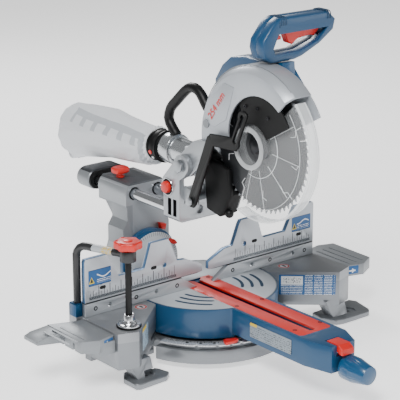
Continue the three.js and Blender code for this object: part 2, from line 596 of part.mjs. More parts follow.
// The bag as a skin over round sections along Y, each with its own centre and radius.
function bagShape(stations) {
  const sides = 20;
  const spots = [];
  const faces = [];
  for (const [y, x, z, radius] of stations) {
    for (const [a, b] of arc([x, z], radius, 0, 360 - 360 / sides, sides - 1)) {
      spots.push(a, y, b);
    }
  }
  const last = (stations.length - 1) * sides;
  for (let i = 0; i < sides; i += 1) {
    const next = (i + 1) % sides;
    for (let row = 0; row < last; row += sides) {
      faces.push(row + i, row + sides + i, row + sides + next);
      faces.push(row + i, row + sides + next, row + next);
    }
    if (i > 0 && i < sides - 1) {
      faces.push(0, i, i + 1);
      faces.push(last, last + i + 1, last + i);
    }
  }
  const skin = new THREE.BufferGeometry();
  skin.setAttribute('position', new THREE.BufferAttribute(new Float32Array(spots), 3));
  skin.setIndex(faces);
  return solid(skin);
}

// Rubber boot that steers dust from the blade into the pipe.
piece('dust_boot', cut(
  slab('x', [[76, -60], [144, -46], [145.4, -80], [138, -150], [100, -158], [86, -150], [70, -110]],
    -18, 18, 4),
  bar('x', 131, [0, 0], -8, 8, 36),
), BLACK, head);

// ---- blade and arbor ----
const tooth = 2 * Math.PI / TEETH;
const bladeRim = [];
for (let i = 0; i < TEETH; i += 1) {
  const turn = i * tooth;
  for (const [radius, lead] of [[BLADE_R - 8, 0.1], [BLADE_R - 7, 0.5], [BLADE_R, 0.98]]) {
    const angle = turn + lead * tooth;
    bladeRim.push([radius * Math.cos(angle), radius * Math.sin(angle)]);
  }
}
const slits = [20, 92, 164, 236, 308].map((angle) => {
  const turn = THREE.MathUtils.degToRad(angle);
  const slit = new THREE.BoxGeometry(6, 24, 1.2);
  slit.translate(0, 108, 0);
  slit.rotateX(turn);
  return solid(slit);
});
piece('saw_blade', cut(slab('x', bladeRim, -1.2, 1.2), bar('x', 8.3, [0, 0], -5, 5, 24),
  ...slits), STEEL, head);
piece('arbor_shaft', join(
  bar('x', 8, [0, 0], -8, 60, 24), bar('x', 26, [0, 0], 1.5, 8, 24),
  bar('x', 18, [0, 0], 51, 59, 24),
), STEEL, head);
piece('arbor_bolt', cut(
  join(bar('x', 13, [0, 0], -18, -8.5, 6), bar('x', 26, [0, 0], -9, -1.5, 24)),
  bar('x', 8.3, [0, 0], -8.3, 0, 24),
), STEEL, head);
piece('motor_armature', join(
  bar('x', 5, DRIVE, 30, 149, 16), bar('x', 24.5, DRIVE, 80, 126, 20),
  bar('x', 15, DRIVE, 51, 59, 24), bar('x', 14, DRIVE, 132, 138, 20),
), COPPER, head);

// ---- moving guard ----
const span = [136, 292];
const side = [...arc([0, 0], LOWER_R - 1, ...span, 22), ...arc([0, 0], 32, span[1], span[0], 12)];
piece('lower_guard', join(
  slab('x', band([0, 0], LOWER_R, LOWER_R - 2.5, ...span, 22), -14, 10),
  slab('x', side, -14, -11.5),
  slab('x', band([0, 0], LOWER_R - 1, LOWER_R - 14, ...span, 22), 7.5, 10),
  ring('x', 40, 31, [0, 0], -34, -11.6, 36),
  bar('x', 6, [4, 36], -37, -30, 12),
), CLEAR, head);

export default part;
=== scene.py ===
import math

import bpy
import numpy as np
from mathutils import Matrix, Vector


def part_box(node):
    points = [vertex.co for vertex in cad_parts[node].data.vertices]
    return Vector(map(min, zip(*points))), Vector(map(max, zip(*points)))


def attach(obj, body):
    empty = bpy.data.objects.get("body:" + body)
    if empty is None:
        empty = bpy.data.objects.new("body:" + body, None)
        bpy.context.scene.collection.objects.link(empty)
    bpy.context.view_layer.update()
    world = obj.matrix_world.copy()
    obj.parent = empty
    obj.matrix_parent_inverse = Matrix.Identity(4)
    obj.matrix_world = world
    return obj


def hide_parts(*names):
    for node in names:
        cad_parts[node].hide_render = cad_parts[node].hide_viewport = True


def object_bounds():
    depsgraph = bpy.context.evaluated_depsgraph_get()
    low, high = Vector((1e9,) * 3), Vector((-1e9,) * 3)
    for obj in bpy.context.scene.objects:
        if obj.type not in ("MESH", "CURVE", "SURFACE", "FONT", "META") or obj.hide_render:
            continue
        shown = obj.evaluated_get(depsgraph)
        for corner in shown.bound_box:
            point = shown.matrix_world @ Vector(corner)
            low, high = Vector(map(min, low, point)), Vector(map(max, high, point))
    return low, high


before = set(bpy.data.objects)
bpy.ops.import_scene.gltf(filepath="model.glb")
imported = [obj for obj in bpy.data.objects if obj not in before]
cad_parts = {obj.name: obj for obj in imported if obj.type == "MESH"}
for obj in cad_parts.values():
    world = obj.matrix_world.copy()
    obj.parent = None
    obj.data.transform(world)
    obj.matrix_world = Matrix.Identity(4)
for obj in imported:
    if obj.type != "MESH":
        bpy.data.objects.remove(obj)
size_at_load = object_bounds()

# ---- Stage and camera ----
# A pale floor under the saw and a long lens set low, as a catalogue table would have it.
# The camera stands to the left of the front arm, looking slightly down.


def show(name, data):
    """Puts new data in the scene as an object at the origin."""
    made = bpy.data.objects.new(name, data)
    bpy.context.scene.collection.objects.link(made)
    return made


camera_data = bpy.data.cameras.new("camera")
camera_data.lens = 144.36
camera_data.sensor_width = 36
camera_data.clip_end = 60
camera = show("camera", camera_data)
camera.location = (-1.8640, -2.2692, 1.1960)
camera.rotation_euler = (math.radians(72.7), 0, math.radians(-39.2))
bpy.context.scene.camera = camera


class Wire:
    """One output of a material's node; arithmetic on it adds the Math node that does the work."""

    def __init__(self, finish, socket):
        self.finish, self.socket = finish, socket

    def work(self, operation, *values):
        return self.finish.node("ShaderNodeMath", {"operation": operation}, dict(enumerate(values)))

    def __add__(self, other):
        return self.work("ADD", self, other)

    def __sub__(self, other):
        return self.work("SUBTRACT", self, other)

    def __mul__(self, other):
        return self.work("MULTIPLY", self, other)

    def __truediv__(self, other):
        return self.work("DIVIDE", self, other)

    def __mod__(self, other):
        return self.work("FLOORED_MODULO", self, other)

    def __lt__(self, other):
        return self.work("LESS_THAN", self, other)

    def __gt__(self, other):
        return self.work("GREATER_THAN", self, other)

    def __abs__(self):
        return self.work("ABSOLUTE", self)

    def __rsub__(self, other):
        return self.work("SUBTRACT", other, self)

    def __rtruediv__(self, other):
        return self.work("DIVIDE", other, self)

    __radd__, __rmul__ = __add__, __mul__

    def between(self, low, high):
        """1 where the value lies between two others and 0 outside them."""
        return (self > low) * (self < high)

    def bands(self, pitch, half):
        """1 in a band at the middle of each pitch, reaching half its width to either side."""
        return abs(self % pitch - pitch / 2) < half

    def span(self, other):
        """The long side of the right-angled triangle whose short sides are this value and the other."""
        return self.work("SQRT", self * self + other * other)

    def bearing(self, other):
        """The angle in degrees whose tangent is this value over the other."""
        return self.work("ARCTAN2", self, other) * (180 / math.pi)


def tone(code):
    """A hex colour as four linear values: each channel goes through the display curve backwards."""
    channels = [int(code[i:i + 2], 16) / 255 for i in (0, 2, 4)]
    return tuple(c / 12.92 if c < 0.04045 else ((c + 0.055) / 1.055) ** 2.4 for c in channels) + (1,)


class Finish:
    """A material under construction. Places are read in millimetres in the saw's own frame."""

    def __init__(self, name, colour, roughness, metallic=0.0, coat=0.0, alpha=1.0):
        self.material = bpy.data.materials.new(name)
        self.material.use_nodes = True
        self.tree = self.material.node_tree
        self.shader = self.tree.nodes["Principled BSDF"]
        self.colour = tone(colour)
        self.roughness = roughness
        self.set("Base Color", self.colour)
        self.set("Roughness", roughness)
        self.set("Metallic", metallic)
        self.set("Coat Weight", coat)
        self.set("Alpha", alpha)
        self.at = self.node("ShaderNodeTexCoord", {}, {}, "Object")
        self.x, self.y, self.z = (
            self.node("ShaderNodeSeparateXYZ", {}, {0: self.at}, axis) * 1000 for axis in "XYZ")

    def node(self, kind, settings, sockets, output=0):
        """Adds one node: its settings first, then a value or a link for each socket named."""
        made = self.tree.nodes.new(kind)
        for key, value in settings.items():
            setattr(made, key, value)
        for key, value in sockets.items():
            self.feed(made.inputs[key], value)
        return Wire(self, made.outputs[output])

    def feed(self, socket, value):
        """Links a wire to a socket, or sets the socket to a plain value."""
        if isinstance(value, Wire):
            self.tree.links.new(value.socket, socket)
        else:
            socket.default_value = value

    def set(self, socket, value):
        self.feed(self.shader.inputs[socket], value)

    def tint(self, mask, colour):
        """Lays a colour over what is there already, as strongly as the mask says."""
        self.colour = self.node("ShaderNodeMix", {"data_type": "RGBA"},
                                {0: mask, 6: self.colour, 7: tone(colour)}, 2)
        self.set("Base Color", self.colour)
        return self

    def noise(self, scale, detail=2.0):
        return self.node("ShaderNodeTexNoise", {}, {"Vector": self.at, "Scale": scale, "Detail": detail})

    def grain(self, scale, height, spread=0.12):
        """The surface left by the mould or the rollers: a fine bump, and gloss that varies with it."""
        rough = self.noise(scale)
        self.set("Normal", self.node("ShaderNodeBump", {}, {
            "Strength": 1.0, "Distance": height / 1000, "Height": rough}))
        self.set("Roughness", self.roughness + (rough - 0.5) * spread)
        return self

    def on(self, *names):
        """Gives the finish to CAD nodes."""
        for name in names:
            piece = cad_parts[name]
            piece.data.materials.clear()
            piece.data.materials.append(self.material)
        return self


floor_reach, floor_drop = 30, 0.0006
floor_finish = Finish("floor_paper", "fbfbfb", 0.9)
floor_finish.set("Emission Color", (1, 1, 1, 1))
floor_finish.set("Emission Strength", 0.9)
floor_mesh = bpy.data.meshes.new("floor")
floor_mesh.from_pydata([(x * floor_reach, y * floor_reach, 0) for x, y in ((-1, -1), (1, -1), (1, 1), (-1, 1))],
                       [], [(0, 1, 2, 3)])
floor_mesh.materials.append(floor_finish.material)
floor = show("floor", floor_mesh)
floor.location.z = size_at_load[0].z - floor_drop

world = bpy.data.worlds.new("studio")
world.use_nodes = True
background = world.node_tree.nodes["Background"]
background.inputs["Color"].default_value = (1, 1, 1, 1)
background.inputs["Strength"].default_value = 0.3
bpy.context.scene.world = world

# ---- Studio light ----
# Three soft boxes: a broad key from above left, a front fill, and a strip behind that edges the metal.
for name, place, aim, size, power in (
    ("key", (-1.6, -1.2, 2.4), (0, 0, 0.25), 1.0, 84),
    ("fill", (1.9, -2.0, 1.2), (0, 0, 0.25), 1.1, 16),
    ("rim", (0.8, 2.2, 1.9), (0, 0, 0.3), 0.9, 44),
):
    lamp = bpy.data.lights.new(name, "AREA")
    lamp.size = size
    lamp.energy = power
    box = show(name, lamp)
    box.location = place
    toward = np.array(aim) - np.array(place)
    box.rotation_euler = (math.acos(-toward[2] / np.linalg.norm(toward)), 0,
                          math.atan2(toward[0], -toward[1]) + math.pi)

# ---- Base casting ----
# One die casting in aluminium alloy, blasted and left bare, with a milled deck.
# It carries the fences, the sliding tables and the scale ring, and stands on four feet.
# The socket that holds the clamp, at its left end, is painted.


def extent(node):
    """The lowest and highest corner of a CAD node in millimetres."""
    low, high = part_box(node)
    return np.array(low) * 1000, np.array(high) * 1000


deck = extent("turntable")[1][2]
wall_top, socket_x = 92, -276.5
base_finish = Finish("base_casting", "96999d", 0.33, 0.65).grain(420, 0.14)
base_finish.tint((base_finish.z < wall_top) * 0.45, "74787c")
base_finish.tint((base_finish.x < socket_x) * (base_finish.z > deck + 0.6), "0b4267")
base_finish.on("base_casting")

# ---- Keep-clear roundels on the deck ----
# A printed red ring over a pale disc, with a dark bar, one on each side of the blade.


def loft(name, rings, body, finish, smooth=35):
    """A closed skin over rings of points, an array of stations by points by x, y, z in millimetres.
    Quads join each ring to the next and a flat face closes each end. Where the pyramids from the
    origin to the faces add up to less than nothing, the faces are turned round to point outwards."""
    stations, count = rings.shape[:2]
    column = np.arange(count)
    following = (column + 1) % count
    rows = np.arange(stations - 1)[:, None]
    quads = np.stack([rows * count + column, rows * count + following,
                      (rows + 1) * count + following, (rows + 1) * count + column], -1).reshape(-1, 4)
    faces = quads.tolist() + [column[::-1].tolist(), (column + (stations - 1) * count).tolist()]
    points = rings.reshape(-1, 3)
    a, b, c, d = (points[quads[:, corner]] for corner in range(4))
    volume = (a * np.cross(b, c)).sum() + (a * np.cross(c, d)).sum()
    for face in faces[-2:]:
        ring = points[face]
        volume += (np.cross(ring[1:-1], ring[2:]) @ ring[0]).sum()
    if volume < 0:
        faces = [face[::-1] for face in faces]
    mesh = bpy.data.meshes.new(name)
    mesh.from_pydata((points / 1000).tolist(), [], faces)
    mesh.materials.append(finish.material)
    mesh.polygons.foreach_set("use_smooth", np.ones(len(faces), bool))
    mesh.set_sharp_from_angle(angle=math.radians(smooth))
    made = show(name, mesh)
    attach(made, body)
    return made


def turned(axis, centre, stations, sides=28):
    """Rings for a turned shape: at each (place along the axis, radius) a circle about the centre."""
    turn = np.linspace(0, 2 * np.pi, sides, endpoint=False)
    along, radius = np.array(stations, float).T
    first, second = {"x": (1, 2), "y": (0, 2), "z": (0, 1)}[axis]
    rings = np.empty((len(along), sides, 3))
    rings[..., "xyz".index(axis)] = along[:, None]
    rings[..., first] = centre[0] + radius[:, None] * np.cos(turn)
    rings[..., second] = centre[1] + radius[:, None] * np.sin(turn)
    return rings


roundel_y, roundel_radius = -20, 12
for side, x in (("left", -172.6), ("right", 187.6)):
    ring_finish = Finish("roundel_" + side, "d9dcdf", 0.45, 0.2)
    across = ring_finish.x - x
    span = across.span(ring_finish.y - roundel_y)
    ring_finish.tint(span.between(8.2, 11.4), "cf3328")
    ring_finish.tint((span < 5.5) * (abs(across - 1) < 2.6), "3a2020")
    disc = [(deck, roundel_radius), (deck + 0.25, roundel_radius)]
    loft("roundel_" + side, turned("z", (x, roundel_y), disc, 40), "base", ring_finish)

# ---- Lower fence screws ----
# Each lower fence is held to the base by three countersunk screws with dark sockets.


def screw(name, axis, centre, surface, outward, radius, body, finish):
    """A socket screw: a turned head with a chamfer and a round recess sunk in its top.
    outward is 1 or -1, the way its head faces along the axis."""
    head = [(surface - 0.5 * outward, radius), (surface + 2.2 * outward, radius),
            (surface + 3.0 * outward, radius * 0.86), (surface + 3.0 * outward, radius * 0.5),
            (surface + 1.2 * outward, radius * 0.46), (surface + 1.2 * outward, radius * 0.05)]
    return loft(name, turned(axis, centre, head, 18), body, finish)


# Near-black: the colour of the black screws, and painted shade where it fills holes, slots, notches and
# recesses.
black_and_hole_shade = Finish("black_and_hole_shade", "0b0b0c", 0.8)
screw_height, screw_sunk = deck + 13, 2.6
for side, sign in (("left", -1), ("right", 1)):
    front = extent(side + "_lower_fence")[0][1]
    for along in (70, 168, 262):
        screw("fence_screw_%s_%d" % (side, along), "y", (sign * along, screw_height), front + screw_sunk,
              -1, 4.8, "base", black_and_hole_shade)

# ---- Mitre scale ----
# A stamped ring with a fine tick for each degree, a longer one for each five,
# and a disc of painted shade in the notch at each detent round its front.
scale_finish = Finish("mitre_scale", "cdd0d3", 0.26, 0.5).grain(300, 0.03)
scale_high = extent("mitre_scale")[1]
brim, ring_top = scale_high[0], scale_high[2]
bearing = scale_finish.x.bearing(0 - scale_finish.y)
reach = scale_finish.x.span(scale_finish.y)
fine = (bearing + 90.5).bands(1, 0.16) * reach.between(brim - 10, brim - 3)
coarse = (bearing + 92.5).bands(5, 0.3) * reach.between(brim - 17, brim - 3)
scale_finish.tint((fine + coarse > 0.5) * (scale_finish.z > ring_top - 0.6), "17181a")
scale_finish.on("mitre_scale")

# Painted shade: a near-black disc sits in each detent notch, where the recess lies in shade.
notch_reach, notch_radius = brim - 1.5, 3.2
notch = [(ring_top - 0.3, notch_radius), (ring_top + 0.15, notch_radius)]
for number, angle in enumerate(np.radians(np.linspace(-142, -38, 12))):
    at = (notch_reach * math.cos(angle), notch_reach * math.sin(angle))
    loft("detent_notch_shade_%d" % number, turned("z", at, notch, 14), "base", black_and_hole_shade)

# ---- Turntable ----
# A casting painted blue, its top milled bright inside the rim with dark curved slots.
# The front arm is the same casting; its long sides are painted and its top is covered by red inserts.
milled_radius, groove_radius = 139.5, 137.6
turntable_finish = Finish("turntable", "0b4267", 0.36, 0.05, 0.3).grain(600, 0.07)
radius = turntable_finish.x.span(turntable_finish.y)
upper = turntable_finish.z > deck - 1.4
turntable_finish.tint((radius < milled_radius) * upper, "b7bcc1")
# Painted shade: a darker ring on the top where the groove at the rim lies in shade.
turntable_finish.tint(upper * radius.between(groove_radius, milled_radius), "6d7378")
turntable_finish.on("turntable")
slot_blue = Finish("slot_blue", "0a2f4a", 0.5)


def arc_strip(axis_centre, inner, outer, first, last, low, high, steps=24):
    """A curved strip: rectangular sections carried round an upright axis between two angles,
    narrowing over the last two steps at each end."""
    turn = np.radians(np.linspace(first, last, steps))
    section = np.array([(inner, low), (outer, low), (outer, high), (inner, high)], float)
    taper = np.minimum(1, np.minimum(np.arange(steps), np.arange(steps)[::-1]) / 2.0 + 0.35)
    middle = (inner + outer) / 2
    reach = middle + (section[:, 0] - middle) * taper[:, None]
    rings = np.empty((steps, 4, 3))
    rings[..., 0] = axis_centre[0] + reach * np.cos(turn)[:, None]
    rings[..., 1] = axis_centre[1] + reach * np.sin(turn)[:, None]
    rings[..., 2] = section[:, 1]
    return rings


slot_centre, slot_half = (0, -10), 3.2
for side, middle in (("left", 214), ("right", -22)):
    for step, reach in enumerate((66, 85, 104)):
        sweep = 27 - 3 * step
        strip = arc_strip(slot_centre, reach - slot_half, reach + slot_half, middle - sweep, middle + sweep,
                          deck - 0.6, deck + 0.18)
        loft("%s_slot_%d" % (side, step), strip, "turntable", slot_blue)

# ---- Kerf inserts ----
# Two red plastic strips screwed down each side of the blade slot, with a dark gap between them.
insert_top = extent("left_kerf_insert")[1][2]
insert_finish = Finish("kerf_insert", "cf2216", 0.42, 0, 0.1).grain(800, 0.05)
insert_finish.on("left_kerf_insert", "right_kerf_insert")
dark_screw = Finish("dark_screw", "2a2b2e", 0.35, 0.7)
for number, place in enumerate(((-30, -130), (-27, -288), (31, -132), (35, -288), (29, 27), (-29, 27))):
    screw("insert_screw_%d" % number, "z", place, insert_top - 2.6, 1, 4.4, "turntable", dark_screw)

# ---- Front arm labels ----
# A grey printed plate on each side of the arm, with a yellow corner and lines of small print.


def plate(axis, outline, low, high, edge=0.4):
    """Rings for a flat plate: one outline at each face, drawn in by the edge radius, and full between."""
    outline = np.array(outline, float)
    middle = outline.mean(0)
    spread = np.linalg.norm(outline - middle, axis=1)[:, None]
    drawn = middle + (outline - middle) * (1 - edge / spread)
    first, second = {"x": (1, 2), "y": (0, 2), "z": (0, 1)}[axis]
    rings = np.empty((4, len(outline), 3))
    for ring, level, shape in zip(rings, (low, low + edge, high - edge, high),
                                  (drawn, outline, outline, drawn)):
        ring[:, "xyz".index(axis)] = level
        ring[:, [first, second]] = shape
    return rings


def rounded(x0, x1, y0, y1, radius, steps=5):
    """The outline of a rectangle with rounded corners, anticlockwise: a quarter circle at each."""
    turn = np.linspace(0, np.pi / 2, steps)
    corners = [(x1 - radius, y1 - radius, 0), (x0 + radius, y1 - radius, 1),
               (x0 + radius, y0 + radius, 2), (x1 - radius, y0 + radius, 3)]
    return np.concatenate([
        np.stack([cx + radius * np.cos(turn + quarter * np.pi / 2),
                  cy + radius * np.sin(turn + quarter * np.pi / 2)], -1)
        for cx, cy, quarter in corners])


arm_face = 46.1
arm_label = Finish("arm_label", "8d979f", 0.45)
arm_print = arm_label.z.bands(4.2, 1.2) * arm_label.z.between(72, 95)
arm_label.tint((arm_label.noise(420.0, 1.0) > 0.53) * arm_print, "4e565d")
arm_label.tint((arm_label.y > -206) * (arm_label.z > 93.5), "d9b93a")
for side, sign in (("left", -1), ("right", 1)):
    loft("arm_label_" + side,
         plate("x", rounded(-300, -187, 71, 99, 2), sign * arm_face, sign * (arm_face + 0.4), 0.15),
         "turntable", arm_label)

# ---- Fences ----
# Tall aluminium castings that slide out; the face is milled and carries an inch scale.
# Painted edges are blue, and a blue label sits near the outer end of each.
inch, scale_foot = 25.4, 148
for side, sign in (("left", -1), ("right", 1)):
    front = extent(side + "_fence")[0][1]
    fence = Finish(side + "_fence", "b9bec4", 0.34, 0.4).grain(350, 0.05)
    along = fence.x * sign
    face = fence.y < front + 0.4
    marks = 0
    for pitch, half, tip in ((inch / 4, 0.5, 154.5), (inch / 2, 0.6, 159), (inch, 0.75, 166)):
        marks = marks + (along + pitch / 2).bands(pitch, half) * fence.z.between(scale_foot, tip)
    band = fence.z.between(141.5, 147.5) * along.between(72, 276)
    fence.tint(band * face, "8b9298")
    fence.tint(band * face * (fence.noise(700.0, 1.0) > 0.5), "3c4146")
    fence.tint((marks > 0.5) * along.between(76, 276) * face, "101114")
    fence.tint((fence.z < 138.4) * face, "15181b")
    fence.tint(fence.y.between(front + 0.6, front + 8.6) * 0.85, "1a5c8c")
    fence.on(side + "_fence")

    label = Finish(side + "_fence_label", "1f5a93", 0.4)
    u, w = label.x * sign, label.z
    sign_at, print_from, print_to = (233, 240, 272) if side == "right" else (270, 226, 258)
    for foot, height, slope, colour in ((173, 13, 2, "e6cf3f"), (175, 9, 2.4, "23252a")):
        label.tint((w > foot) * (w - foot < height - abs(u - sign_at) * slope), colour)
    printed = u.between(print_from, print_to)
    label.tint(w.bands(3.4, 0.7) * w.between(172, 180) * printed * (label.noise(700.0, 1.0) > 0.44), "e8edf2")
    wave = (u - 252) / 6
    label.tint((abs(w - 186 - wave.work("SINE", wave) * 3.4) < 1.3) * printed, "e8edf2")
    label.tint(w.between(168, 169.2) + w.between(198, 200), "0e3560")
    first, last = sorted((sign * 226, sign * 277))
    loft(side + "_fence_label",
         plate("y", rounded(first, last, 168, 199, 1.5), front - 0.3, front + 0.1, 0.1),
         side + "_fence", label)
    # Painted shade: a near-black plate on the face stands for each slot, where the hole lies in shade.
    for number, (x, z) in enumerate(((245, 161), (126, 172))):
        hole = rounded(sign * x - 7, sign * x + 7, z - 3.4, z + 3.4, 3.3)
        loft("%s_fence_slot_%d" % (side, number), plate("y", hole, front - 0.2, front + 0.2, 0.1),
             side + "_fence", black_and_hole_shade)

lower_front = extent("left_lower_fence")[0][1]
lower_finish = Finish("lower_fence", "b3b8bd", 0.34, 0.45).grain(350, 0.05)
lower_finish.tint((lower_finish.y > lower_front + 1) * 0.7, "7e858b")
lower_finish.tint((lower_finish.z > 135.2) * 0.9, "17191c")
lower_finish.on("left_lower_fence", "right_lower_fence")

# ---- Fence end trims ----
# A painted strip closes the outer end of each sliding fence, and slides with it.
for side, sign in (("left", -1), ("right", 1)):
    low, high = extent(side + "_fence")
    first, last = sorted((sign * 279, sign * 284.6))
    loft(side + "_end_trim",
         plate("x", rounded(low[1] + 0.2, high[1] - 0.2, 138, 205, 1.2), first, last, 0.5),
         side + "_fence", slot_blue)

# ---- Sliding tables ----
# Grey castings that pull out at both ends, with low ribs across their deck.
extension_finish = Finish("extension", "8b8f93", 0.45, 0.4).grain(420, 0.13)
extension_finish.on("left_extension", "right_extension")
table_end, rib_half = 14, 2.2
for side, sign in (("left", -1), ("right", 1)):
    low, high = extent(side + "_extension")
    end = max(abs(low[0]), abs(high[0])) - table_end
    for number, along in enumerate((12, 30, 48)):
        first, last = sorted((sign * (end - along) - rib_half, sign * (end - along) + rib_half))
        loft("%s_table_rib_%d" % (side, number),
             plate("z", rounded(first, last, low[1] + 16, high[1] - 26, 2), high[2] - 0.4, high[2] + 0.9),
             side + "_extension", extension_finish)

# ---- Wing and table labels ----
# A wide blue and white plate on the front of the right wing and a small one on the left, printed with
# rows of marks that spell nothing, and an arrow plate on the front corner of each sliding table.
wing_label = Finish("wing_label", "1f5a93", 0.42)
u, w = wing_label.x, wing_label.z
wing_label.tint(u.between(161, 194) * w.between(83, 101), "eef1f3")
wing_label.tint(u.between(164, 191) * w.between(86, 98) * (wing_label.noise(500.0, 1.0) > 0.58), "55606a")
for columns in (u.between(197, 242) * u.bands(15, 6.4), u.between(161, 194) * w.between(63, 82)):
    wing_label.tint(w.bands(3.6, 0.8) * columns * (wing_label.noise(650.0, 1.0) > 0.42), "dfe7ee")

left_wing_label = Finish("left_wing_label", "9fb4c4", 0.42)
left_print = left_wing_label.z.bands(4, 1.1) * (left_wing_label.noise(600.0, 1.0) > 0.5)
left_wing_label.tint(left_print, "4f6577")
left_wing_label.tint((left_wing_label.z > 97) * (left_wing_label.x < -206), "d9b93a")

arrow_plate = Finish("arrow_plate", "1f5a93", 0.4)
out, rise = abs(arrow_plate.x), abs(arrow_plate.z - 95)
shaft = (abs(out - 305) < 7) * (rise < 1.6)
barb = (rise < abs(out - 311) * 0.9) * (abs(out - 308) < 3.4) * (rise < 5)
arrow_plate.tint(shaft + barb, "e8edf2")


def slanted(name, first, last, low, high, body, finish, thick=0.4):
    """A plate on an upright slanted face: its outline runs between two points and two heights.
    Each ring is that outline moved out along the face's normal; the outer one is drawn in a little."""
    first, last = np.array(first, float), np.array(last, float)
    length = np.linalg.norm(last - first)
    along_face = (last - first) / length
    normal = np.array([along_face[1], -along_face[0]])
    rings = []
    for level, draw in ((-0.3, 0), (thick * 0.6, 0), (thick, 0.25)):
        outline = rounded(draw, length - draw, low + draw, high - draw, 1.6)
        ground = first + outline[:, :1] * along_face + level * normal
        rings.append(np.column_stack([ground, outline[:, 1]]))
    return loft(name, np.array(rings), body, finish)


slanted("right_wing_label", (158, -39.1), (244, -112.3), 62, 104, "base", wing_label)
slanted("left_wing_label", (-228, -98.5), (-194, -69.4), 60, 103, "base", left_wing_label)
slanted("right_table_label", (297, -94.1), (319, -100.5), 88, 105, "right_extension", arrow_plate)
slanted("left_table_label", (-314, -97.5), (-291, -92.3), 86, 103, "left_extension", arrow_plate)

# ---- Work clamp ----
# A bent steel bar, plastic coated black, with a screw, a red lobed knob and a round foot.
clamp_finish = Finish("clamp_bar", "1a1b1d", 0.42, 0, 0.2).grain(900, 0.1)
arm_part = clamp_finish.z > 236
clamp_finish.tint(clamp_finish.y.between(-56, -16) * arm_part * (clamp_finish.x < -262), "a9aeb2")
yellow = clamp_finish.y.between(-56, -36) * arm_part * (clamp_finish.noise(600.0, 1.0) > 0.5)
clamp_finish.tint(yellow, "cfae35")
clamp_finish.on("clamp_arm")
red = Finish("red_plastic", "d01d12", 0.38, 0, 0.1).grain(800, 0.05)
red.on("clamp_knob")
black = Finish("black_plastic", "0c0d0e", 0.42).grain(800, 0.08)
black.set("Specular IOR Level", 0.25)
black.on("clamp_screw")
chrome = Finish("chrome", "c9cccf", 0.14, 1.0)
chrome.on("clamp_pad")
pad_low, pad_high = extent("clamp_pad")
pad_at = (pad_low[:2] + pad_high[:2]) / 2
pad_foot, knob_top = pad_low[2], extent("clamp_knob")[1][2]
pad_rim = [(pad_foot, 23), (pad_foot + 3, 23.4), (pad_foot + 3.6, 22), (pad_foot + 3.6, 17)]
loft("clamp_pad_rim", turned("z", pad_at, pad_rim, 36), "clamp_screw", black)
knob_cap = [(knob_top - 0.2, 9), (knob_top + 1.6, 8.4), (knob_top + 2.4, 6)]
loft("clamp_knob_cap", turned("z", pad_at, knob_cap), "clamp_screw", red)

# ---- Mitre lock, detent lever and pointer ----
# The arm ends in a turned blue grip on a threaded rod, and a red lever under the table's front edge.
# A steel bolt through the base is the table's pivot.
knob_finish = Finish("mitre_knob", "0d4a72", 0.3, 0.0, 0.4).grain(600, 0.04)
knob_finish.on("mitre_lock_knob")
red.on("detent_lever", "mitre_pointer")
steel = Finish("steel", "9da1a5", 0.3, 0.9).grain(300, 0.04)
steel.on("mitre_pivot_bolt")

# ---- Bevel scale ----
# A blue painted drum at the back of the table, faced with a bright quadrant and its degree marks.
# Its pointer and stop are red, and the bolt that the column tilts on is steel.
arc_finish = Finish("bevel_arc", "0b4267", 0.34, 0, 0.3).grain(700, 0.05)
rise = arc_finish.z - deck
face = arc_finish.y < extent("bevel_arc")[0][1] + 1.4
arc_finish.tint(face, "b7bcc0")
ticks = (arc_finish.x.bearing(rise) + 92.5).bands(5, 0.4) * (arc_finish.x.span(rise) > 55)
arc_finish.tint(ticks * face, "1a1c1f")
arc_finish.on("bevel_arc")
red.on("bevel_pointer", "bevel_stop")
steel.on("bevel_bolt")

# ---- Column and rails ----
# The tilting column is a thin-walled casting with a dark lid; two chromed tubes slide through it
# in plastic bushes. A black lever clamps the tilt and a red knob the slide; a rubber pad stops it.
housing = Finish("rail_housing", "999da1", 0.42, 0.45).grain(420, 0.13)
housing.tint((housing.z > extent("rail_housing")[1][2] - 4) * 0.92, "4a4d51")
# Painted shade: the left side is darkened over the height of the pocket in it.
housing.tint((housing.x < -34) * housing.z.between(150, 232) * 0.35, "5c6064")
housing.on("rail_housing")
cap = Finish("rear_cap", "8e9296", 0.4, 0.45).grain(420, 0.1)
cap.tint((cap.z > extent("rear_rail_cap")[1][2] - 5) * 0.95, "303236")
cap.on("rear_rail_cap")
chrome.on("left_rail", "right_rail")
black.on("left_slide_bush", "right_slide_bush", "bevel_lock_lever")
red.on("rail_lock_knob")
rubber = Finish("rubber", "090a0b", 0.55)
rubber.set("Specular IOR Level", 0.25)
rubber.on("rail_buffer", "dust_boot")

# ---- Slide carriage and head arm ----
# Bare castings joined by two hinge bolts; the recess in the carriage's left cheek is filled with painted shade.
carriage_finish = Finish("carriage", "a4a8ac", 0.33, 0.6).grain(420, 0.12)
# Painted shade: a near-black patch over the recess in the left cheek.
carriage_finish.tint(carriage_finish.x.between(-49.6, -44) * carriage_finish.y.between(25, 54)
                     * carriage_finish.z.between(249, 285), "141517")
carriage_finish.on("slide_carriage")
silver = Finish("silver_casting", "a4a8ac", 0.33, 0.6).grain(420, 0.12)
silver.on("head_arm")
steel.on("left_hinge_bolt", "right_hinge_bolt")
black.on("guard_link", "carry_handle")

# ---- Upper guard ----
# A die cast half round shell over the blade, painted silver, its window edged in black.
# Its side carries plain red lettering for the blade's size, and a blank round badge.
guard_finish = Finish("upper_guard", "aaafb5", 0.36, 0.3, 0.1).grain(420, 0.06)
guard_finish.on("upper_guard")
guard_side = extent("upper_guard")[0][0]
blade_low, blade_high = extent("saw_blade")
arbor = (blade_low[1:] + blade_high[1:]) / 2


